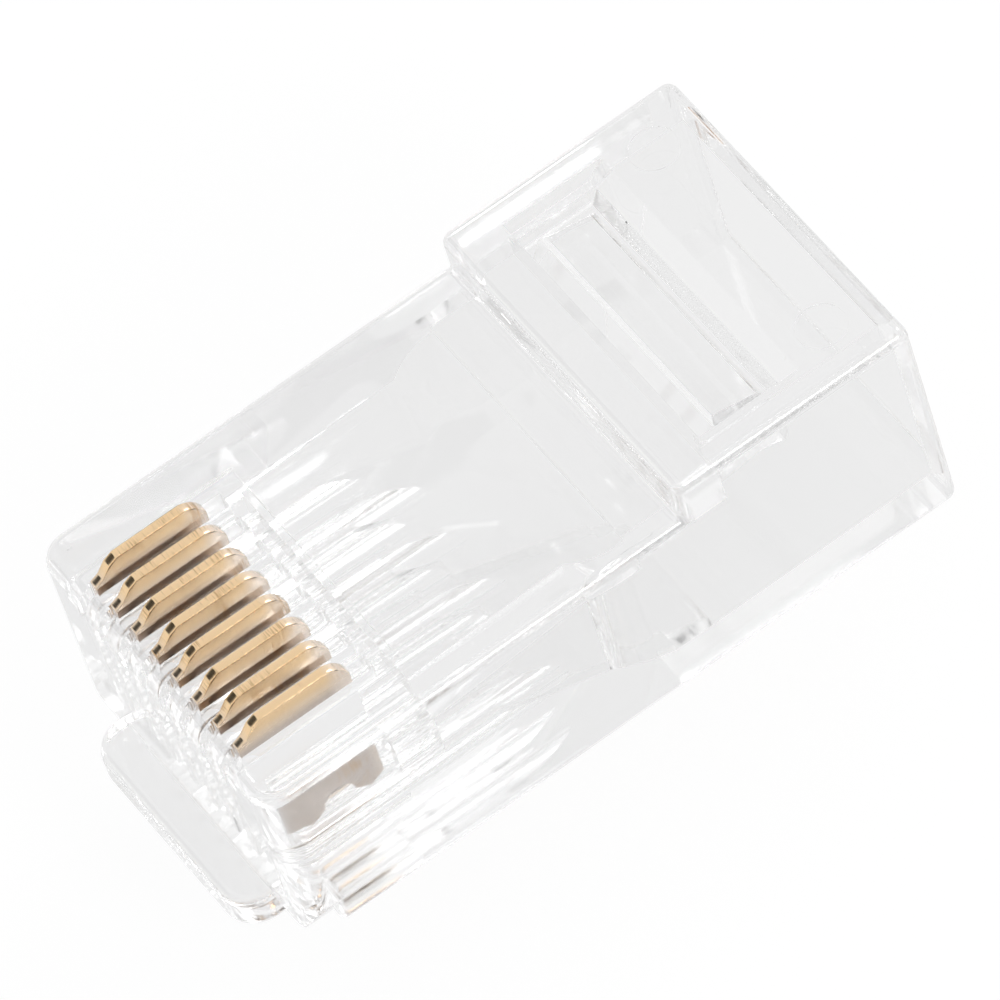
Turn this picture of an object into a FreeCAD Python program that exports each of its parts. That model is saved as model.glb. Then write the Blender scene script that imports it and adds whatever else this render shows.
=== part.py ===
# An 8-position modular plug for round cable, clear moulding with eight gold-plated blades.
#
# Frame, in millimetres: X runs forward to the nose, Y across the plug, Z up to the contact side.
# The origin is the middle of the lower edge of the nose face, the corner a jack locates from.
# The blades stand proud and the strain relief is open, as the plug is before it is crimped.
import FreeCAD, Part
import os

import Sketcher

SIZES = [
    # alias, value, what it is
    ("body_width", 11.68, "housing across Y"),
    ("body_length", 22.06, "nose face to cable end"),
    ("front_height", 6.67, "housing under the contact side"),
    ("rear_height", 8.07, "housing over the cable cavity"),
    ("step_depth", 14.09, "nose face to the step between the two heights"),
    ("nose_corner", 0.90, "radius of the upright nose corners"),
    ("edge_round", 0.35, "radius of the outer edges"),
    ("step_fillet", 0.20, "radius in the corner at the foot of the step"),
    ("chamfer_depth", 1.05, "length of the lead-in cut on the nose's lower corners"),
    ("chamfer_side", 0.65, "width of that cut"),
    ("chamfer_rise", 1.10, "height of that cut"),
    ("chamfer_round", 0.20, "radius where the full width starts behind that cut"),
    ("side_wall", 1.14, "housing wall beside the cavity"),
    ("floor_wall", 1.10, "housing wall under the cavity"),
    ("roof_wall", 1.05, "housing wall over the cavity"),
    ("mouth_chamfer", 0.45, "bevel round the cable entry"),
    ("roof_low", 5.75, "cavity roof from the step back to the strain relief"),
    ("roof_lip", 12.65, "nose face to the small step in the cavity roof"),
    ("lip_drop", 0.40, "height of that step"),
    ("ramp_foot", 12.90, "nose face to the foot of the floor ramp"),
    ("ramp_top", 7.60, "nose face to the head of the floor ramp"),
    ("bed_width", 8.30, "wire bed across Y"),
    ("funnel_front", 10.95, "nose face to where the cavity's sides have closed in to the bed"),
    ("funnel_bow", 2.40, "radius of the curve by which they close in"),
    ("bed_rear", 10.70, "nose face to the rear of the wire bed"),
    ("bed_roof", 4.72, "roof of the wire bed at its front"),
    ("comb_depth", 5.68, "nose face to the rear of the comb"),
    ("channel_diameter", 0.94, "bore for one insulated wire"),
    ("channel_height", 3.05, "axis of the upper wire bores"),
    ("channel_stagger", 0.40, "drop of every second wire bore"),
    ("channel_stop", 1.00, "nose wall the wires butt against"),
    ("contact_count", 8, "blades"),
    ("pitch", 1.02, "blade to blade"),
    ("contact_thickness", 0.30, "blade across Y"),
    ("contact_length", 3.74, "blade along X"),
    ("contact_height", 3.85, "blade from its tips to its top"),
    ("contact_setback", 0.60, "nose face to the front of the blade"),
    ("crimped_height", 6.00, "top of a blade once it is crimped"),
    ("contact_travel", 1.38, "how far crimping drives a blade down"),
    ("ledge_length", 0.28, "small ledge low on a blade's front"),
    ("ledge_rise", 0.13, "rise of that ledge"),
    ("slope_length", 0.29, "length of the slope over the ledge"),
    ("slope_rise", 0.34, "rise of that slope"),
    ("brow_length", 0.28, "length of the last bevel up to a blade's top"),
    ("brow_rise", 0.14, "rise of that bevel"),
    ("heel_length", 0.59, "length of the curve at the rear of a blade's top"),
    ("heel_drop", 0.62, "height of that curve"),
    ("heel_round", 0.90, "radius of that curve"),
    ("foot_setback", 0.42, "step at the front and rear of a blade's prongs"),
    ("foot_height", 1.98, "height of that step over the tips"),
    ("prong_width", 0.94, "each piercing prong along X"),
    ("prong_point", 0.30, "height of a prong's point"),
    ("prong_notch", 0.80, "crown of the arch between the prongs, over the tips"),
    ("slot_clearance", 0.03, "gap beside a blade in its slot"),
    ("slot_floor", 2.05, "bottom of the blade slots"),
    ("slot_mouth", 5.65, "lowest point where the slots open through the nose"),
    ("groove_width", 0.56, "wider top part of a slot"),
    ("groove_depth", 0.90, "height of that part"),
    ("groove_rear", 5.00, "nose face to the rear of the slots"),
    ("comb_width", 8.50, "comb between the two cheeks"),
    ("comb_drop", 0.12, "comb ribs below the contact side"),
    ("comb_round", 0.70, "radius at the front of the ribs"),
    ("recess_front", 15.65, "nose face to the strain relief recess"),
    ("recess_length", 3.35, "recess along X"),
    ("recess_width", 9.60, "recess across Y"),
    ("recess_depth", 0.55, "depth of the recess ledge"),
    ("recess_slope", 0.55, "run of the recess's rear wall"),
    ("window_lean", 0.25, "run of the window's rear wall under the ledge"),
    ("window_width", 8.80, "window under the recess, across Y"),
    ("bar_hinge_drop", 1.87, "top of the housing to the bar's hinge line"),
    ("bar_knuckle", 0.20, "radius of the bar's hinge end"),
    ("bar_length", 2.20, "hinge line to the bar's free face"),
    ("bar_lean", 0.58, "hinge line to the crest along the bar's top"),
    ("bar_rise", 1.30, "crest above the hinge line"),
    ("bar_fall", 0.35, "fall of the bar's broad face from crest to free edge"),
    ("bar_edge", 0.14, "blunting of the bar's free edges"),
    ("bar_tooth", 0.25, "tooth below the hinge line"),
    ("bar_heel", 1.30, "hinge line to the front of the tooth"),
    ("bar_bevel", 0.30, "bevel at each end of the broad face"),
    ("bar_gap", 0.07, "gap at each end of the bar"),
    ("hinge_clearance", 0.04, "gap round a hinge end"),
    ("pin_mark_diameter", 1.50, "ejector pin marks"),
    ("pin_mark_depth", 0.05, "depth of those marks"),
    ("pin_mark_inset", 1.76, "cable end to the marks"),
    ("pin_mark_spacing", 8.10, "mark to mark across Y"),
    ("chin_width", 7.90, "chin under the nose, across Y"),
    ("chin_reach", 1.15, "chin ahead of the nose face"),
    ("chin_top", 0.45, "top of the chin"),
    ("chin_thickness", 1.20, "chin along Z"),
    ("chin_corner", 1.05, "chin corner radius seen from above"),
    ("chin_round", 0.30, "radius of the chin's edges"),
    ("hinge_back", 1.60, "nose face to the latch's hinge line"),
    ("hinge_low", 0.50, "latch hinge line below the housing"),
    ("latch_knuckle", 0.42, "radius of the latch's hinge end"),
    ("latch_angle", 14.0, "slope of the free latch, degrees"),
    ("latch_width", 6.10, "latch across its locking shoulders"),
    ("latch_shoulder", 8.36, "nose face to the locking shoulders"),
    ("latch_thickness", 1.00, "latch arm"),
    ("shoulder_thickness", 1.75, "latch at the locking shoulders"),
    ("lever_width", 3.20, "finger lever behind the shoulders"),
    ("lever_end", 15.20, "nose face to the tip of the lever"),
    ("lever_round", 0.45, "radius of the lever's tip"),
    ("past", 1.00, "how far an open cut runs past a face"),
]

os.makedirs("parts", exist_ok=True)
doc = FreeCAD.newDocument("ModularPlug")
sheet = doc.addObject("Spreadsheet::Sheet", "Sizes")
for row, (alias, amount, note) in enumerate(SIZES, start=1):
    sheet.set("A%d" % row, alias)
    sheet.set("B%d" % row, str(amount))
    sheet.set("C%d" % row, note)
    sheet.setAlias("B%d" % row, alias)
doc.recompute()

NAMES = {alias for alias, amount, note in SIZES}
TOP = "(crimped_height + contact_travel)"
BAR_X = "-(recess_front + bar_knuckle + hinge_clearance)"
BAR_Z = "(rear_height - bar_hinge_drop)"


def bound(text):
    """The expression with each size's name led by the sheet's."""
    words, word = [], ""
    for mark in text + " ":
        if mark.isalnum() or mark == "_":
            word += mark
            continue
        words.append("Sizes." + word if word in NAMES else word)
        words.append(mark)
        word = ""
    return "".join(words).strip()


def amount_of(text):
    """The present value of an expression in sizes."""
    found = sheet.evalExpression(bound(text))
    return float(getattr(found, "Value", found))


def new_body(label):
    body = doc.addObject("PartDesign::Body", label)
    body.Label = label
    return body


def origin_part(body, role):
    return [part for part in body.Origin.OriginFeatures if part.Role == role][0]


def sketch_on(body, name, role, lift):
    """An empty sketch on one of the body's own planes, lift along the plane's normal."""
    sketch = body.newObject("Sketcher::SketchObject", name)
    sketch.AttachmentSupport = [(origin_part(body, role), "")]
    sketch.MapMode = "FlatFace"
    sketch.setExpression("AttachmentOffset.Base.z", bound(lift))
    sketch.Visibility = False
    return sketch


def hold(sketch, kind, edge, end, text):
    """A distance from the sketch's origin, bound to the sizes."""
    held = sketch.addConstraint(Sketcher.Constraint(kind, edge, end, amount_of(text)))
    sketch.setExpression("Constraints[%d]" % held, bound(text))


def outline(body, name, role, corners, lift="0"):
    """A closed sketch. Each corner is (x, y), or (x, y, radius, turn) where an arc starts.

    turn is 1 for an arc that bulges to the right of its chord and -1 for one to the left.
    """
    sketch = sketch_on(body, name, role, lift)
    spots = [FreeCAD.Vector(amount_of(c[0]), amount_of(c[1]), 0) for c in corners]
    last = len(corners) - 1
    for edge, corner in enumerate(corners):
        start, end = spots[edge], spots[0 if edge == last else edge + 1]
        if len(corner) == 2:
            sketch.addGeometry(Part.LineSegment(start, end))
            continue
        radius, turn = amount_of(corner[2]), corner[3]
        chord = end - start
        side = FreeCAD.Vector(chord.y, -chord.x, 0).normalize() * turn
        rise = max(radius ** 2 - (chord.Length / 2) ** 2, 0) ** 0.5
        crown = (start + end) / 2 + side * (radius - rise)
        sketch.addGeometry(Part.Arc(start, crown, end))
    for edge, corner in enumerate(corners):
        following = 0 if edge == last else edge + 1
        first, final = (1, 2) if start_leads(sketch, edge, spots[edge]) else (2, 1)
        opens = 1 if start_leads(sketch, following, spots[following]) else 2
        sketch.addConstraint(Sketcher.Constraint("Coincident", edge, final, following, opens))
        hold(sketch, "DistanceX", edge, first, corner[0])
        hold(sketch, "DistanceY", edge, first, corner[1])
        if len(corner) > 2:
            held = sketch.addConstraint(Sketcher.Constraint("Radius", edge, amount_of(corner[2])))
            sketch.setExpression("Constraints[%d]" % held, bound(corner[2]))
    return sketch


def start_leads(sketch, edge, spot):
    """True if the edge's first end is at the spot, which an arc drawn clockwise denies."""
    return (sketch.getPoint(edge, 1) - spot).Length < 1e-6


def disc(body, name, role, centre, diameter, lift="0"):
    """A sketch of one circle."""
    sketch = sketch_on(body, name, role, lift)
    spot = FreeCAD.Vector(amount_of(centre[0]), amount_of(centre[1]), 0)
    sketch.addGeometry(Part.Circle(spot, FreeCAD.Vector(0, 0, 1), amount_of(diameter) / 2))
    hold(sketch, "DistanceX", 0, 3, centre[0])
    hold(sketch, "DistanceY", 0, 3, centre[1])
    held = sketch.addConstraint(Sketcher.Constraint("Diameter", 0, amount_of(diameter)))
    sketch.setExpression("Constraints[%d]" % held, bound(diameter))
    return sketch


def extrude(body, kind, sketch, length, side="Symmetric", back=False):
    """A Pad or Pocket of the sketch, checked to add or take away material."""
    before = body.Shape.Volume if body.Tip else 0
    feature = body.newObject("PartDesign::" + kind, kind + sketch.Name)
    feature.Profile = sketch
    feature.SideType = side
    feature.Reversed = back
    feature.setExpression("Length", bound(length))
    doc.recompute()
    grown = body.Shape.Volume - before
    if (grown <= 0) == (kind == "Pad"):
        raise RuntimeError("%s changes nothing" % feature.Name)
    return feature


def repeat(body, feature, count, spacing, back=False):
    """Copies of a feature in a row along Y."""
    row_of = body.newObject("PartDesign::LinearPattern", "Row" + feature.Name)
    row_of.Originals = [feature]
    row_of.Direction = (origin_part(body, "Y_Axis"), [""])
    row_of.Reversed = back
    row_of.setExpression("Occurrences", bound(count))
    row_of.setExpression("Length", bound("(%s - 1) * (%s)" % (count, spacing)))
    body.Tip = row_of
    doc.recompute()
    return row_of


def round_edges(body, radius, chosen, kind="Fillet"):
    """A fillet or chamfer on the tip's edges whose middle and chord the test accepts."""
    tip = body.Tip
    names = []
    for number, edge in enumerate(tip.Shape.Edges, start=1):
        middle = edge.valueAt((edge.FirstParameter + edge.LastParameter) / 2)
        chord = edge.lastVertex().Point - edge.firstVertex().Point
        if chord.Length > 0 and chosen(middle, chord.normalize()):
            names.append("Edge%d" % number)
    dressed = body.newObject("PartDesign::" + kind, kind + tip.Name)
    dressed.Base = (tip, names)
    dressed.setExpression("Radius" if kind == "Fillet" else "Size", bound(radius))
    doc.recompute()
    return dressed


def near(a, b):
    return abs(a - b) < 1e-4


def contact_y(index):
    """The expression for a blade's middle, counted from the +Y side."""
    return "(contact_count - 1 - 2 * %d) * pitch / 2" % index


def make_shell(body):
    """The stepped block with its rounded corners and edges."""
    block = outline(body, "Block", "XZ_Plane", [
        ("0", "0"),
        ("-body_length", "0"),
        ("-body_length", "rear_height"),
        ("-step_depth", "rear_height"),
        ("-step_depth", "front_height"),
        ("0", "front_height"),
    ])
    extrude(body, "Pad", block, "body_width")
    round_edges(body, "nose_corner", lambda at, along: near(at.x, 0) and near(abs(along.z), 1))
    foot = amount_of("-step_depth"), amount_of("front_height")
    round_edges(body, "edge_round", lambda at, along: not (near(at.x, foot[0]) and near(at.z, foot[1])))
    round_edges(body, "step_fillet", lambda at, along: near(at.x, foot[0]) and near(at.z, foot[1]))


def make_nose_lead_in(body):
    """Sloping cuts on the nose's two lower corners, which find the jack's opening."""
    for side, name in ((1, "LeadInLeft"), (-1, "LeadInRight")):
        edge = "%d * body_width / 2" % side
        beyond = "%d * (body_width / 2 + past)" % side
        cut = outline(body, name, "YZ_Plane", [
            ("%s - %d * chamfer_side" % (edge, side), "0"),
            (edge, "chamfer_rise"),
            (beyond, "chamfer_rise"),
            (beyond, "-past"),
            ("%s - %d * chamfer_side" % (edge, side), "-past"),
        ])
        extrude(body, "Pocket", cut, "chamfer_depth", side="One side")
    rear = amount_of("-chamfer_depth")
    side = amount_of("body_width / 2")
    round_edges(body, "chamfer_round", lambda at, along: near(at.x, rear) and near(abs(at.y), side))


def make_cavity(body):
    """The cable cavity: a tall rear room, a sloping roof and a floor ramp up to the wire bed."""
    room = outline(body, "CableRoom", "XZ_Plane", [
        ("-(body_length + past)", "floor_wall"),
        ("-ramp_foot", "floor_wall"),
        ("-bed_rear", "floor_wall + (channel_height - floor_wall)"
                      " * (ramp_foot - bed_rear) / (ramp_foot - ramp_top)"),
        ("-bed_rear", "bed_roof + (roof_low - lip_drop - bed_roof)"
                      " * (bed_rear - comb_depth) / (roof_lip - comb_depth)"),
        ("-roof_lip", "roof_low - lip_drop"),
        ("-roof_lip", "roof_low"),
        ("-recess_front", "roof_low"),
        ("-recess_front", "rear_height - roof_wall"),
        ("-(body_length + past)", "rear_height - roof_wall"),
    ])
    extrude(body, "Pocket", room, "body_width - 2 * side_wall")
    for side, name in ((1, "FunnelLeft"), (-1, "FunnelRight")):
        wall = "%d * (body_width / 2 - side_wall" % side
        cheek = outline(body, name, "XY_Plane", [
            ("-roof_lip", wall + ")"),
            ("-bed_rear", wall + ")"),
            ("-bed_rear", "%d * bed_width / 2" % side),
            ("-funnel_front", "%d * bed_width / 2" % side, "funnel_bow", side),
        ], lift="floor_wall")
        extrude(body, "Pad", cheek, "roof_low - floor_wall", side="One side")
    rear = amount_of("-body_length")
    half = amount_of("body_width / 2 - side_wall")
    low, high = amount_of("floor_wall"), amount_of("rear_height - roof_wall")
    round_edges(body, "mouth_chamfer", lambda at, along: near(at.x, rear)
                and abs(at.y) < half + 1e-4 and low - 1e-4 < at.z < high + 1e-4, "Chamfer")


def make_wire_bed(body):
    """The bed ahead of the ramp, and one bore for each wire running on under the comb."""
    bed = outline(body, "WireBed", "XZ_Plane", [
        ("-bed_rear", "floor_wall + (channel_height - floor_wall)"
                      " * (ramp_foot - bed_rear) / (ramp_foot - ramp_top)"),
        ("-ramp_top", "channel_height"),
        ("-comb_depth", "channel_height"),
        ("-comb_depth", "bed_roof"),
        ("-bed_rear", "bed_roof + (roof_low - lip_drop - bed_roof)"
                      " * (bed_rear - comb_depth) / (roof_lip - comb_depth)"),
    ])
    extrude(body, "Pocket", bed, "bed_width")
    for name, first, drop in (("WireBoreHigh", 1, "0"), ("WireBoreLow", 0, "channel_stagger")):
        bore = disc(body, name, "YZ_Plane", (contact_y(first), "channel_height - " + drop),
                    "channel_diameter", lift="-bed_rear")
        cut = extrude(body, "Pocket", bore, "bed_rear - channel_stop", side="One side", back=True)
        repeat(body, cut, "contact_count / 2", "2 * pitch", back=True)


def make_comb(body):
    """The blade slots between the cheeks, with ribs that round over at the nose."""
    crest = outline(body, "CombCrest", "XZ_Plane", [
        ("-comb_depth", "front_height - comb_drop"),
        ("-comb_round", "front_height - comb_drop", "comb_round", -1),
        ("0", "front_height - comb_drop - comb_round"),
        ("past", "front_height - comb_drop - comb_round"),
        ("past", "front_height + past"),
        ("-comb_depth", "front_height + past"),
    ])
    extrude(body, "Pocket", crest, "comb_width")
    away = "-(%s)" % contact_y(0)
    rear = "-(contact_setback + contact_length + slot_clearance)"
    slot = outline(body, "BladeSlot", "XZ_Plane", [
        ("-(contact_setback - slot_clearance)", "slot_floor"),
        (rear, "slot_floor"),
        (rear, "front_height + past"),
        ("past", "front_height + past"),
        ("past", "slot_mouth"),
        ("-(contact_setback - slot_clearance)", "slot_mouth"),
    ], lift=away)
    cut = extrude(body, "Pocket", slot, "contact_thickness + 2 * slot_clearance")
    repeat(body, cut, "contact_count", "pitch", back=True)
    floor = "front_height - comb_drop - groove_depth"
    groove = outline(body, "SlotGroove", "XZ_Plane", [
        ("-(contact_setback - slot_clearance)", floor),
        ("-groove_rear", floor),
        ("-groove_rear", "front_height + past"),
        ("-(contact_setback - slot_clearance)", "front_height + past"),
    ], lift=away)
    cut = extrude(body, "Pocket", groove, "groove_width")
    repeat(body, cut, "contact_count", "pitch", back=True)


def make_crimp_window(body):
    """The recess and window where the strain relief bar swings into the cable cavity."""
    ledge = "rear_height - recess_depth"
    rear = "recess_front + recess_length"
    recess = outline(body, "CrimpRecess", "XZ_Plane", [
        ("-recess_front", "rear_height + past"),
        ("-recess_front", ledge),
        ("-(%s - recess_slope)" % rear, ledge),
        ("-(%s)" % rear, "rear_height"),
        ("-(%s)" % rear, "rear_height + past"),
    ])
    extrude(body, "Pocket", recess, "recess_width")
    window = outline(body, "CrimpWindow", "XZ_Plane", [
        ("-recess_front", ledge + " + past"),
        ("-recess_front", "rear_height - roof_wall - past"),
        ("-(%s - recess_slope - window_lean)" % rear, "rear_height - roof_wall - past"),
        ("-(%s - recess_slope - window_lean)" % rear, "rear_height - roof_wall"),
        ("-(%s - recess_slope)" % rear, ledge),
        ("-(%s - recess_slope)" % rear, ledge + " + past"),
    ])
    extrude(body, "Pocket", window, "window_width")


def make_pin_marks(body):
    """The two shallow rounds that the mould's ejector pins leave beside the strain relief."""
    mark = disc(body, "PinMark", "XY_Plane",
                ("-(body_length - pin_mark_inset)", "pin_mark_spacing / 2"),
                "pin_mark_diameter", lift="rear_height")
    cut = extrude(body, "Pocket", mark, "pin_mark_depth", side="One side")
    repeat(body, cut, "2", "pin_mark_spacing", back=True)


def make_chin(body):
    """The rounded chin under the nose that carries the latch's hinge."""
    half = "chin_width / 2"
    chin = outline(body, "Chin", "XY_Plane", [
        ("-hinge_back", "-" + half),
        ("chin_reach - chin_corner", "-" + half, "chin_corner", 1),
        ("chin_reach", "chin_corner - " + half),
        ("chin_reach", half + " - chin_corner", "chin_corner", 1),
        ("chin_reach - chin_corner", half),
        ("-hinge_back", half),
    ], lift="chin_top - chin_thickness")
    extrude(body, "Pad", chin, "chin_thickness", side="One side")
    low, high = amount_of("chin_top - chin_thickness"), amount_of("chin_top")
    rear = amount_of("-hinge_back")
    round_edges(body, "chin_round", lambda at, along: near(along.z, 0)
                and at.x > rear + 1e-4 and (near(at.z, low) or (near(at.z, high) and at.x > 1e-4)))
    seat = disc(body, "LatchHingeSeat", "XZ_Plane", ("-hinge_back", "-hinge_low"),
                "2 * (latch_knuckle + hinge_clearance)")
    extrude(body, "Pocket", seat, "chin_width + past")


def make_housing():
    body = new_body("housing")
    make_shell(body)
    make_nose_lead_in(body)
    make_cavity(body)
    make_wire_bed(body)
    make_comb(body)
    make_crimp_window(body)
    make_pin_marks(body)
    make_chin(body)
    return body


def make_latch():
    """The latch: a wide root that thickens to its shoulders, then the narrow finger lever.

    It is drawn straight behind its hinge line and then tilted by the free latch's slope.
    """
    body = new_body("latch")
    slope = "cos(latch_angle)"
    shoulder = "-(latch_shoulder - hinge_back) / " + slope
    tip = "-(lever_end - hinge_back) / " + slope
    top = "latch_knuckle"
    knuckle = disc(body, "Knuckle", "XZ_Plane", ("0", "0"), "2 * latch_knuckle")
    extrude(body, "Pad", knuckle, "latch_width")
    root = outline(body, "Root", "XZ_Plane", [
        ("0", top),
        ("0", "-latch_knuckle"),
        (shoulder, top + " - shoulder_thickness"),
        (shoulder, top),
    ])
    extrude(body, "Pad", root, "latch_width")
    lever = outline(body, "Lever", "XZ_Plane", [
        ("0", top),
        ("0", top + " - latch_thickness / 2"),
        (shoulder, top + " - latch_thickness"),
        (tip, top + " - latch_thickness"),
        (tip, top),
    ])
    extrude(body, "Pad", lever, "lever_width")
    end = amount_of(tip)
    round_edges(body, "lever_round", lambda at, along: near(at.x, end) and near(abs(along.y), 1))
    place(body, ("-hinge_back", "0", "-hinge_low"), "-latch_angle")
    return body


def make_strain_relief_bar():
    """The bar that is pressed onto the cable's jacket. It hangs on the window's front wall."""
    body = new_body("strain_relief_bar")
    wide = "window_width - 2 * bar_gap"
    knuckle = disc(body, "BarKnuckle", "XZ_Plane", ("0", "0"), "2 * bar_knuckle")
    extrude(body, "Pad", knuckle, wide)
    section = outline(body, "BarSection", "XZ_Plane", [
        ("0", "-bar_knuckle"),
        ("0", "bar_knuckle"),
        ("-bar_lean", "bar_rise"),
        ("-(bar_length - bar_edge)", "bar_rise - bar_fall"),
        ("-bar_length", "bar_rise - bar_fall - bar_edge"),
        ("-bar_length", "0"),
        ("-(bar_length - bar_edge)", "-bar_tooth"),
        ("-bar_heel", "0"),
    ])
    extrude(body, "Pad", section, wide)
    end = amount_of("(%s) / 2" % wide)
    crest, lip = amount_of("-bar_lean"), amount_of("-(bar_length - bar_edge)")
    low = amount_of("bar_rise - bar_fall")
    round_edges(body, "bar_bevel", lambda at, along: near(abs(at.y), end) and at.z > low
                and lip < at.x < crest, "Chamfer")
    place(body, (BAR_X, "0", BAR_Z), "0")
    return body


def make_contact(index):
    """One blade: faceted front, curved heel, stepped shanks and two prongs either side of an arch."""
    body = new_body("contact_%d" % (index + 1))
    front, rear, tall = "0", "-contact_length", "contact_height"
    inner = "foot_setback + prong_width"
    half, arch = "(contact_length / 2 - %s)" % inner.replace("+", "-"), "(prong_notch - prong_point)"
    blade = outline(body, "Blade%d" % (index + 1), "XZ_Plane", [
        ("-(ledge_length + slope_length + brow_length)", tall),
        ("-(ledge_length + slope_length)", tall + " - brow_rise"),
        ("-ledge_length", tall + " - brow_rise - slope_rise"),
        (front, tall + " - brow_rise - slope_rise - ledge_rise"),
        (front, "foot_height"),
        ("-foot_setback", "foot_height"),
        ("-foot_setback", "prong_point"),
        ("-(foot_setback + prong_width / 2)", "0"),
        ("-(%s)" % inner, "prong_point", "(%s ^ 2 + %s ^ 2) / (2 * %s)" % (half, arch, arch), 1),
        ("-(contact_length - (%s))" % inner, "prong_point"),
        ("-(contact_length - foot_setback - prong_width / 2)", "0"),
        ("-(contact_length - foot_setback)", "prong_point"),
        ("-(contact_length - foot_setback)", "foot_height"),
        (rear, "foot_height"),
        (rear, tall + " - heel_drop", "heel_round", -1),
        ("-(contact_length - heel_length)", tall),
    ])
    extrude(body, "Pad", blade, "contact_thickness")
    place(body, ("-contact_setback", contact_y(index), TOP + " - contact_height"), "0")
    return body


def place(body, spot, turn):
    """The body's place, bound to the sizes, with its turn in degrees about Y."""
    body.Placement = FreeCAD.Placement(FreeCAD.Vector(), FreeCAD.Rotation(FreeCAD.Vector(0, 1, 0), 1))
    for letter, text in zip("xyz", spot):
        body.setExpression("Placement.Base." + letter, bound(text))
    body.setExpression("Placement.Rotation.Angle", bound(turn))
    doc.recompute()


def check(nodes):
    """Stops if any object of the document failed or any node's solid is unsound."""
    doc.recompute()
    for item in doc.Objects:
        if {"Invalid", "Error"} & set(item.State):
            raise RuntimeError("%s failed" % item.Name)
    for node in nodes:
        if node.Shape.isNull() or not node.Shape.isValid() or not node.Shape.Solids:
            raise RuntimeError("%s has no sound solid" % node.Label)


nodes = [make_housing(), make_latch(), make_strain_relief_bar()]
nodes += [make_contact(index) for index in range(int(amount_of("contact_count")))]
check(nodes)
for node in nodes:
    node.Shape.exportStep("parts/%s.step" % node.Label)
    box = node.Shape.BoundBox
    print("%-18s %9.3f mm3  %d solid  x %.2f..%.2f  y %.2f..%.2f  z %.2f..%.2f" % (
        node.Label, node.Shape.Volume, len(node.Shape.Solids),
        box.XMin, box.XMax, box.YMin, box.YMax, box.ZMin, box.ZMax))
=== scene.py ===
"""Dresses a clear modular plug: moulded plastic, gold-plated blades, pale floor and soft lamps."""
import math

import bpy
from bpy.props import FloatProperty, FloatVectorProperty, PointerProperty
from mathutils import Matrix, Vector


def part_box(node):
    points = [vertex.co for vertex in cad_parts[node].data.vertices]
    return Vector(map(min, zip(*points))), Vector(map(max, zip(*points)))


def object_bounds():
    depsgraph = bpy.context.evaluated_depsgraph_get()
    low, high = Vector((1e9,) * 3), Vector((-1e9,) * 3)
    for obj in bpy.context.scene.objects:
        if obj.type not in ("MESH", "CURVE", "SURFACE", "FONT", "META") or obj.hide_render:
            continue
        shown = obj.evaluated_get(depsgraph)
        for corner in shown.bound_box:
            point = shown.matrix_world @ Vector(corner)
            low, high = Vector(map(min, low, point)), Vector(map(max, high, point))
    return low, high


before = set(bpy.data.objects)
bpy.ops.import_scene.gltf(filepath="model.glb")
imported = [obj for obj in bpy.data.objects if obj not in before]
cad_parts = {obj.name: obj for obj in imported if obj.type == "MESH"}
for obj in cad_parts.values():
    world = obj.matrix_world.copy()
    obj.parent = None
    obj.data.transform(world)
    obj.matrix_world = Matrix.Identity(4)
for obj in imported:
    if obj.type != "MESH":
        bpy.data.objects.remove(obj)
cad_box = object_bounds()

bl_info = {
    "name": "Modular plug finish",
    "version": (1, 0, 0),
    "blender": (4, 5, 0),
    "location": "View3D > Sidebar > Plug",
    "description": "Finishes for a clear modular plug with gold-plated blades",
    "category": "Material",
}

MM = 0.001
WHITE = (1.0, 1.0, 1.0)
CLEAR_NODES = ("housing", "latch", "strain_relief_bar")
CONTACT_NODES = sorted(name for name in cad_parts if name.startswith("contact_"))

# Clear plastic: size of the flow ripple, and the range of polish as shares of the roughness.
RIPPLE_SCALE = 380.0
RIPPLE_STRENGTH = 0.12
PLASTIC_POLISH = (0.5, 1.6)

# Blades: heights of the plating's changes as shares of the blade, from the prongs to the crown.
NICKEL_LEVEL = 0.76
FLASH_LEVEL = 0.82
GOLD_LEVEL = 0.93
# Painted reflection: the pale colour where the crown curves down at the rear stands in for the
# white floor mirrored there. It starts and is full at these distances from the rear edge, up to
# this share.
HEEL_REFLECTION_START = 0.75 * MM
HEEL_REFLECTION_FULL = 0.25 * MM
HEEL_REFLECTION_SHARE = 0.8
# Press marks: fine across the crown, in patches, and stained between two levels of the noise.
MARK_SCALE = (26000, 1600, 1800)
MARK_DETAIL = 4.0
MARK_STRENGTH = 0.12
MARK_DEPTH = 0.01 * MM
PATCH_SCALE = 700.0
PATCH_DETAIL = 2.0
STAIN_LEVELS = (0.27, 0.44)
BLADE_POLISH = (0.6, 1.6)

# Eased edges: how near faces are joined, how round the edge is cut, how strongly flats stay flat.
JOIN_DISTANCE = 0.001 * MM
EASE_SEGMENTS = 3
FLAT_WEIGHT = 50
LATCH_EDGE_ANGLE = math.radians(30)
BLADE_EDGE_ANGLE = math.radians(20)

# Floor: half its width, the share of it that glows, and the glow through or in the plug.
FLOOR_REACH = 0.6
FLOOR_ROUGHNESS = 0.6
GLOW_SHARE = 0.95
GLOW_IN_PLUG = 0.86
GLOW_TO_CAMERA = 1.0

# Light tent: grey of its top, the heights between which it changes, and its two openings.
TENT_TOP = (0.94, 0.94, 0.94)
TENT_CHANGE = (0.1, 0.9)
MOUTH_DIRECTION = (0.53, -0.56, 0.62)
MOUTH_ANGLES = (math.radians(11), math.radians(16))
MOUTH_DARK = (0.04, 0.04, 0.04)
MOUTH_THROUGH_PLUG = 0.12
SLIT_DIRECTION = (0.19, 0.56, 0.80)
SLIT_ANGLES = (math.radians(8), math.radians(16))
SLIT_DARK = (0.06, 0.06, 0.06)

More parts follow.
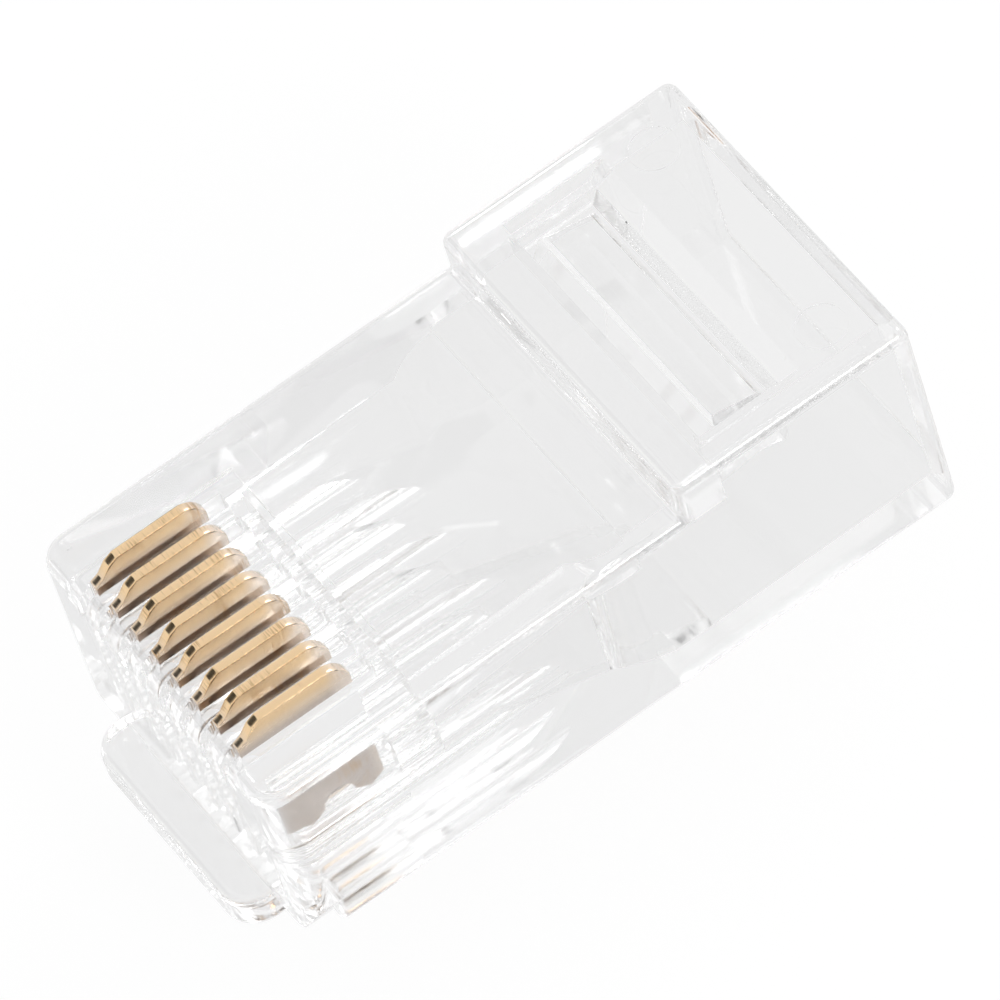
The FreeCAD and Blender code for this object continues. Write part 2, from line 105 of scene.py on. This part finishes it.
# Lamps: width and place in metres, and how many bounces their light is followed for.
KEY_LAMP_SIZE = 0.12
KEY_LAMP_PLACE = (-0.08, 0.36, 0.26)
FILL_LAMP_SIZE = 0.2
FILL_LAMP_PLACE = (-0.35, -0.1, 0.3)
LAMP_BOUNCES = 4

SENSOR_WIDTH = 36.0
CLIP_RANGE = (0.01, 10.0)
# With fewer bounces the edges of the clear plastic turn black.
LIGHT_BOUNCES = 48


class PlasticSettings(bpy.types.PropertyGroup):
    """The clear moulding."""
    tint: FloatVectorProperty(
        name="Tint", description="Colour of the light that passes through",
        subtype="COLOR", size=3, min=0, max=1, default=(0.985, 0.985, 0.985))
    roughness: FloatProperty(
        name="Roughness", description="Polish of the mould", min=0, max=1, default=0.05)
    ior: FloatProperty(
        name="Refractive index", description="How strongly the plastic bends light",
        min=1, max=2, default=1.585)
    ripple: FloatProperty(
        name="Ripple", description="Depth of the flow ripple in the faces", unit="LENGTH",
        min=0, max=0.0001, precision=6, default=0.004 * MM)
    latch_edge: FloatProperty(
        name="Latch edge", description="Rounding of the latch's edges", unit="LENGTH",
        min=0, max=0.0002, precision=6, default=0.02 * MM)


class GoldSettings(bpy.types.PropertyGroup):
    """The plated blades."""
    gold: FloatVectorProperty(
        name="Gold", description="Colour of the plated crown",
        subtype="COLOR", size=3, min=0, max=1, default=(0.86, 0.63, 0.38))
    flash: FloatVectorProperty(
        name="Flash", description="Thin gold below the crown, with the nickel showing through",
        subtype="COLOR", size=3, min=0, max=1, default=(0.74, 0.62, 0.50))
    nickel: FloatVectorProperty(
        name="Nickel", description="Colour of the bare underplate at the prongs",
        subtype="COLOR", size=3, min=0, max=1, default=(0.60, 0.53, 0.48))
    stain: FloatVectorProperty(
        name="Stain", description="Colour of the fine marks across the crown",
        subtype="COLOR", size=3, min=0, max=1, default=(0.52, 0.33, 0.16))
    # This pale colour is no plating: it is a painted reflection of the white floor on the crown's
    # rear curve.
    heel_reflection: FloatVectorProperty(
        name="Heel", description="Pale plating where the crown curves down at the rear",
        subtype="COLOR", size=3, min=0, max=1, default=(0.88, 0.79, 0.71))
    roughness: FloatProperty(
        name="Roughness", description="Polish of the plating", min=0, max=1, default=0.15)
    blade_edge: FloatProperty(
        name="Blade edge", description="Rounding of the blades' edges", unit="LENGTH",
        min=0, max=0.0001, precision=6, default=0.03 * MM)


class StageSettings(bpy.types.PropertyGroup):
    """Floor, lamps and camera."""
    azimuth: FloatProperty(
        name="Azimuth", description="Camera's bearing from the nose direction",
        subtype="ANGLE", default=math.radians(71.3))
    elevation: FloatProperty(
        name="Elevation", description="Camera's height above the level",
        subtype="ANGLE", default=math.radians(53.5))
    roll: FloatProperty(
        name="Roll", description="Turn of the camera about its own axis",
        subtype="ANGLE", default=math.radians(-19.4))
    distance: FloatProperty(
        name="Distance", description="Camera to plug", unit="LENGTH", default=0.3838)
    lens: FloatProperty(
        name="Lens", description="Focal length in millimetres", default=500.0)
    aim: FloatVectorProperty(
        name="Aim", description="Where the camera looks, from the middle of the plug's box",
        subtype="TRANSLATION", size=3, default=(-0.00116, -0.00094, 0.00095))
    floor: FloatVectorProperty(
        name="Floor", description="Colour of the floor",
        subtype="COLOR", size=3, min=0, max=1, default=(0.94, 0.94, 0.94))
    key_power: FloatProperty(
        name="Key lamp", description="Power of the lamp beside the plug",
        unit="POWER", min=0, default=0.55)
    fill_power: FloatProperty(
        name="Fill lamp", description="Power of the lamp behind the plug",
        unit="POWER", min=0, default=0.5)


def opaque(colour):
    """The colour with the alpha that a colour socket needs."""
    return (*colour, 1)


def new_material(name):
    material = bpy.data.materials.new(name)
    material.use_nodes = True
    material.node_tree.nodes.clear()
    return material


def add(tree, kind, **inputs):
    """A shader node with its input sockets set by name."""
    node = tree.nodes.new(kind)
    for name, value in inputs.items():
        node.inputs[name.replace("_", " ")].default_value = value
    return node


def remap(tree, value, start, end, low=0.0, high=1.0):
    """A node that takes a value from the range start to end to the range low to high."""
    node = add(tree, "ShaderNodeMapRange",
               From_Min=start, From_Max=end, To_Min=low, To_Max=high)
    tree.links.new(value, node.inputs["Value"])
    return node


def combine(tree, operation, first, second):
    """The result of a math operation on two sockets."""
    node = tree.nodes.new("ShaderNodeMath")
    node.operation = operation
    tree.links.new(first, node.inputs[0])
    tree.links.new(second, node.inputs[1])
    return node.outputs[0]


def paint(tree, under, colour, share):
    """A colour laid over another one, as strongly as the share says."""
    node = tree.nodes.new("ShaderNodeMix")
    node.data_type = "RGBA"
    node.inputs["B"].default_value = opaque(colour)
    tree.links.new(under, node.inputs["A"])
    tree.links.new(share, node.inputs["Factor"])
    return node.outputs["Result"]


def polish(tree, shader, texture, roughness, shares):
    """Varies the roughness with a texture, between two shares of its plain value."""
    low, high = (share * roughness for share in shares)
    uneven = remap(tree, texture.outputs["Fac"], 0.0, 1.0, low, high)
    tree.links.new(uneven.outputs["Result"], shader.inputs["Roughness"])


def emboss(tree, shader, texture, strength, depth):
    """Raises a texture out of the surface."""
    bump = add(tree, "ShaderNodeBump", Strength=strength, Distance=depth)
    tree.links.new(texture.outputs["Fac"], bump.inputs["Height"])
    tree.links.new(bump.outputs["Normal"], shader.inputs["Normal"])


def finish_surface(tree, shader):
    output = tree.nodes.new("ShaderNodeOutputMaterial")
    tree.links.new(shader.outputs[0], output.inputs["Surface"])


def clear_plastic(settings):
    """Polished clear plastic with a faint flow ripple and slightly uneven polish."""
    material = new_material("clear_plastic")
    tree = material.node_tree
    shader = add(tree, "ShaderNodeBsdfPrincipled", Metallic=0.0, IOR=settings.ior,
                 Transmission_Weight=1.0, Base_Color=opaque(settings.tint))
    place = tree.nodes.new("ShaderNodeTexCoord")
    ripple = add(tree, "ShaderNodeTexNoise", Scale=RIPPLE_SCALE, Detail=0.0)
    tree.links.new(place.outputs["Object"], ripple.inputs["Vector"])
    emboss(tree, shader, ripple, RIPPLE_STRENGTH, settings.ripple)
    polish(tree, shader, ripple, settings.roughness, PLASTIC_POLISH)
    finish_surface(tree, shader)
    return material


def plating_by_height(tree, settings, height, low, high):
    """Nickel at the prongs, thin gold above them and full gold on the crown."""
    level = remap(tree, height, low.z, high.z)
    plating = tree.nodes.new("ShaderNodeValToRGB")
    stops = plating.color_ramp.elements
    for stop, colour in ((0.0, settings.nickel), (NICKEL_LEVEL, settings.nickel),
                         (FLASH_LEVEL, settings.flash), (GOLD_LEVEL, settings.gold)):
        stops.new(stop).color = opaque(colour)
    # The ramp's own two stops go: the last, and the one that now stands first.
    stops.remove(stops[len(stops) - 1])
    stops.remove(stops[0])
    tree.links.new(level.outputs["Result"], plating.inputs["Fac"])
    return plating.outputs["Color"]


def press_marks(tree, place):
    """Fine noise, drawn out along the crown and up the blade."""
    stretch = add(tree, "ShaderNodeMapping", Scale=MARK_SCALE)
    tree.links.new(place.outputs["Object"], stretch.inputs["Vector"])
    marks = add(tree, "ShaderNodeTexNoise", Scale=1.0, Detail=MARK_DETAIL)
    tree.links.new(stretch.outputs["Vector"], marks.inputs["Vector"])
    return marks


def plated_blade(settings):
    """Gold crown that thins to the nickel under it, with a pale painted reflection of the floor
    where it curves down at the rear, and fine marks from the stamping press.
    """
    material = new_material("gold_plate")
    tree = material.node_tree
    shader = add(tree, "ShaderNodeBsdfPrincipled", Metallic=1.0)
    place = tree.nodes.new("ShaderNodeTexCoord")
    split = tree.nodes.new("ShaderNodeSeparateXYZ")
    tree.links.new(place.outputs["Object"], split.inputs["Vector"])
    low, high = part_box(CONTACT_NODES[0])
    plating = plating_by_height(tree, settings, split.outputs["Z"], low, high)
    # Painted reflection: pale colour laid over the plating towards the rear edge, where the crown
    # curves down and would mirror the white floor.
    rear = remap(tree, split.outputs["X"], low.x + HEEL_REFLECTION_START, low.x + HEEL_REFLECTION_FULL,
                 high=HEEL_REFLECTION_SHARE)
    plating = paint(tree, plating, settings.heel_reflection, rear.outputs["Result"])
    marks = press_marks(tree, place)
    patch = add(tree, "ShaderNodeTexNoise", Scale=PATCH_SCALE, Detail=PATCH_DETAIL)
    tree.links.new(place.outputs["Object"], patch.inputs["Vector"])
    patchy = combine(tree, "MULTIPLY", marks.outputs["Fac"], patch.outputs["Fac"])
    stained = remap(tree, patchy, *STAIN_LEVELS)
    plating = paint(tree, plating, settings.stain, stained.outputs["Result"])
    tree.links.new(plating, shader.inputs["Base Color"])
    polish(tree, shader, marks, settings.roughness, BLADE_POLISH)
    emboss(tree, shader, marks, MARK_STRENGTH, MARK_DEPTH)
    finish_surface(tree, shader)
    return material


def dress(names, material):
    """Gives the nodes one material in place of their own."""
    for name in names:
        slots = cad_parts[name].data.materials
        slots.clear()
        slots.append(material)


def ease_edges(names, width, angle):
    """Rounds every edge sharper than the angle, and keeps the flats flat in the shading."""
    for name in names:
        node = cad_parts[name]
        node.data.shade_smooth()
        weld = node.modifiers.new("joined_faces", "WELD")
        weld.merge_threshold = JOIN_DISTANCE
        bevel = node.modifiers.new("eased_edges", "BEVEL")
        bevel.width = width
        bevel.segments = EASE_SEGMENTS
        bevel.limit_method = "ANGLE"
        bevel.angle_limit = angle
        bevel.use_clamp_overlap = False
        flats = node.modifiers.new("flat_faces", "WEIGHTED_NORMAL")
        flats.mode = "FACE_AREA"
        flats.weight = FLAT_WEIGHT


class PLUG_OT_clear_moulding(bpy.types.Operator):
    """Finish the housing, the latch and the strain relief bar in clear plastic"""
    bl_idname = "plug.clear_moulding"
    bl_label = "Clear moulding"

    def execute(self, context):
        settings = context.scene.plug_plastic
        dress(CLEAR_NODES, clear_plastic(settings))
        ease_edges(("latch",), settings.latch_edge, LATCH_EDGE_ANGLE)
        return {"FINISHED"}


class PLUG_OT_contacts(bpy.types.Operator):
    """Plate the blades and ease their edges"""
    bl_idname = "plug.contacts"
    bl_label = "Gold blades"

    def execute(self, context):
        settings = context.scene.plug_gold
        dress(CONTACT_NODES, plated_blade(settings))
        ease_edges(CONTACT_NODES, settings.blade_edge, BLADE_EDGE_ANGLE)
        return {"FINISHED"}


def floor_material(colour):
    """A pale floor that shows white behind the plug and keeps a faint shadow."""
    material = new_material("pale_floor")
    tree = material.node_tree
    rays = tree.nodes.new("ShaderNodeLightPath")
    seen = combine(tree, "MAXIMUM", rays.outputs["Is Camera Ray"],
                   rays.outputs["Is Transmission Ray"])
    seen = combine(tree, "MAXIMUM", seen, rays.outputs["Is Glossy Ray"])
    share = remap(tree, seen, 0.0, 1.0, high=GLOW_SHARE)
    matte = add(tree, "ShaderNodeBsdfDiffuse", Roughness=FLOOR_ROUGHNESS, Color=opaque(colour))
    glow = add(tree, "ShaderNodeEmission")
    level = remap(tree, rays.outputs["Is Camera Ray"], 0.0, 1.0, GLOW_IN_PLUG, GLOW_TO_CAMERA)
    tree.links.new(level.outputs["Result"], glow.inputs["Strength"])
    mixed = tree.nodes.new("ShaderNodeMixShader")
    tree.links.new(share.outputs["Result"], mixed.inputs["Fac"])
    tree.links.new(matte.outputs[0], mixed.inputs[1])
    tree.links.new(glow.outputs[0], mixed.inputs[2])
    finish_surface(tree, mixed)
    return material


def facing(tree, incoming, direction, angles):
    """A soft spot round a direction of the room: 1 within the first angle, 0 past the second."""
    dot = tree.nodes.new("ShaderNodeVectorMath")
    dot.operation = "DOT_PRODUCT"
    dot.inputs[1].default_value = Vector(direction).normalized()
    tree.links.new(incoming, dot.inputs[0])
    inner, outer = (math.cos(angle) for angle in angles)
    spot = remap(tree, dot.outputs["Value"], outer, inner)
    spot.interpolation_type = "SMOOTHSTEP"
    return spot.outputs["Result"]


def tent_walls(tree, incoming):
    """White walls that turn a little greyer overhead."""
    split = tree.nodes.new("ShaderNodeSeparateXYZ")
    tree.links.new(incoming, split.inputs["Vector"])
    walls = tree.nodes.new("ShaderNodeValToRGB")
    for stop, position, colour in zip(walls.color_ramp.elements, TENT_CHANGE, (WHITE, TENT_TOP)):
        stop.position = position
        stop.color = opaque(colour)
    tree.links.new(split.outputs["Z"], walls.inputs["Fac"])
    return walls.outputs["Color"]


def studio_world():
    """A light tent with a dark mouth and a dark slit, which shows plain white to the camera."""
    world = bpy.data.worlds.new("light_tent")
    world.use_nodes = True
    tree = world.node_tree
    tree.nodes.clear()
    rays = tree.nodes.new("ShaderNodeLightPath")
    incoming = tree.nodes.new("ShaderNodeTexCoord").outputs["Generated"]
    walls = tent_walls(tree, incoming)
    # The mouth is dark in mirror reflections and only faint through the plastic.
    mouth = facing(tree, incoming, MOUTH_DIRECTION, MOUTH_ANGLES)
    depth = remap(tree, rays.outputs["Is Reflection Ray"], 0.0, 1.0, low=MOUTH_THROUGH_PLUG)
    mouth = combine(tree, "MULTIPLY", mouth, depth.outputs["Result"])
    walls = paint(tree, walls, MOUTH_DARK, mouth)
    slit = facing(tree, incoming, SLIT_DIRECTION, SLIT_ANGLES)
    walls = paint(tree, walls, SLIT_DARK, slit)
    room = tree.nodes.new("ShaderNodeBackground")
    tree.links.new(walls, room.inputs["Color"])
    backdrop = add(tree, "ShaderNodeBackground", Color=opaque(WHITE))
    mixed = tree.nodes.new("ShaderNodeMixShader")
    tree.links.new(rays.outputs["Is Camera Ray"], mixed.inputs["Fac"])
    tree.links.new(room.outputs[0], mixed.inputs[1])
    tree.links.new(backdrop.outputs[0], mixed.inputs[2])
    output = tree.nodes.new("ShaderNodeOutputWorld")
    tree.links.new(mixed.outputs[0], output.inputs["Surface"])
    world.cycles.sampling_method = "NONE"
    bpy.context.scene.world = world


def add_floor(colour, height):
    mesh = bpy.data.meshes.new("floor")
    corners = [(x * FLOOR_REACH, y * FLOOR_REACH, height)
               for x, y in ((-1, -1), (1, -1), (1, 1), (-1, 1))]
    mesh.from_pydata(corners, [], [(0, 1, 2, 3)])
    mesh.materials.append(floor_material(colour))
    floor = bpy.data.objects.new("floor", mesh)
    bpy.context.scene.collection.objects.link(floor)


def add_lamp(name, size, power, place, target):
    """A soft square lamp that faces the target."""
    data = bpy.data.lights.new(name, "AREA")
    data.shape = "SQUARE"
    data.size = size
    data.energy = power
    data.cycles.max_bounces = LAMP_BOUNCES
    holder = bpy.data.objects.new(name, data)
    holder.location = place
    holder.rotation_euler = (target - Vector(place)).to_track_quat("-Z", "Y").to_euler()
    bpy.context.scene.collection.objects.link(holder)


def add_camera(settings, middle):
    """A long lens on the plug, by bearing, height and roll."""
    level = math.cos(settings.elevation)
    away = Vector((level * math.cos(settings.azimuth), level * math.sin(settings.azimuth),
                   math.sin(settings.elevation)))
    target = middle + Vector(settings.aim)
    data = bpy.data.cameras.new("camera")
    data.lens = settings.lens
    data.sensor_width = SENSOR_WIDTH
    data.clip_start, data.clip_end = CLIP_RANGE
    camera = bpy.data.objects.new("camera", data)
    turn = (-away).to_track_quat("-Z", "Y").to_matrix().to_4x4()
    roll = Matrix.Rotation(settings.roll, 4, "Z")
    camera.matrix_world = Matrix.Translation(target + away * settings.distance) @ turn @ roll
    bpy.context.scene.collection.objects.link(camera)
    bpy.context.scene.camera = camera


class PLUG_OT_stage(bpy.types.Operator):
    """Lay the pale floor and set the room, the lamps and the camera"""
    bl_idname = "plug.stage"
    bl_label = "Stage"

    def execute(self, context):
        scene = context.scene
        settings = scene.plug_stage
        low, high = (Vector(corner) for corner in cad_box)
        middle = (low + high) / 2
        add_floor(settings.floor, low.z)
        studio_world()
        add_lamp("key_lamp", KEY_LAMP_SIZE, settings.key_power, KEY_LAMP_PLACE, middle)
        add_lamp("fill_lamp", FILL_LAMP_SIZE, settings.fill_power, FILL_LAMP_PLACE, middle)
        add_camera(settings, middle)
        scene.view_settings.view_transform = "Standard"
        scene.cycles.use_light_tree = False
        scene.cycles.max_bounces = LIGHT_BOUNCES
        scene.cycles.transmission_bounces = LIGHT_BOUNCES
        scene.cycles.glossy_bounces = LIGHT_BOUNCES
        return {"FINISHED"}


class PLUG_PT_panel(bpy.types.Panel):
    """The plug's finishes"""
    bl_idname = "PLUG_PT_panel"
    bl_label = "Modular plug"
    bl_space_type = "VIEW_3D"
    bl_region_type = "UI"
    bl_category = "Plug"

    def draw(self, context):
        for group in SETTINGS:
            settings = getattr(context.scene, group)
            for name in settings.bl_rna.properties.keys():
                if name not in ("rna_type", "name"):
                    self.layout.prop(settings, name)
        for kind in OPERATORS:
            self.layout.operator(kind.bl_idname)


SETTINGS = {
    "plug_plastic": PlasticSettings,
    "plug_gold": GoldSettings,
    "plug_stage": StageSettings,
}
OPERATORS = (PLUG_OT_clear_moulding, PLUG_OT_contacts, PLUG_OT_stage)


def register():
    for kind in (*SETTINGS.values(), *OPERATORS, PLUG_PT_panel):
        bpy.utils.register_class(kind)
    for name, kind in SETTINGS.items():
        setattr(bpy.types.Scene, name, PointerProperty(type=kind))


def unregister():
    for name in SETTINGS:
        delattr(bpy.types.Scene, name)
    for kind in (PLUG_PT_panel, *reversed(OPERATORS), *reversed(SETTINGS.values())):
        bpy.utils.unregister_class(kind)


def main():
    register()
    bpy.ops.plug.clear_moulding()
    bpy.ops.plug.contacts()
    bpy.ops.plug.stage()


if __name__ == "__main__":
    main()
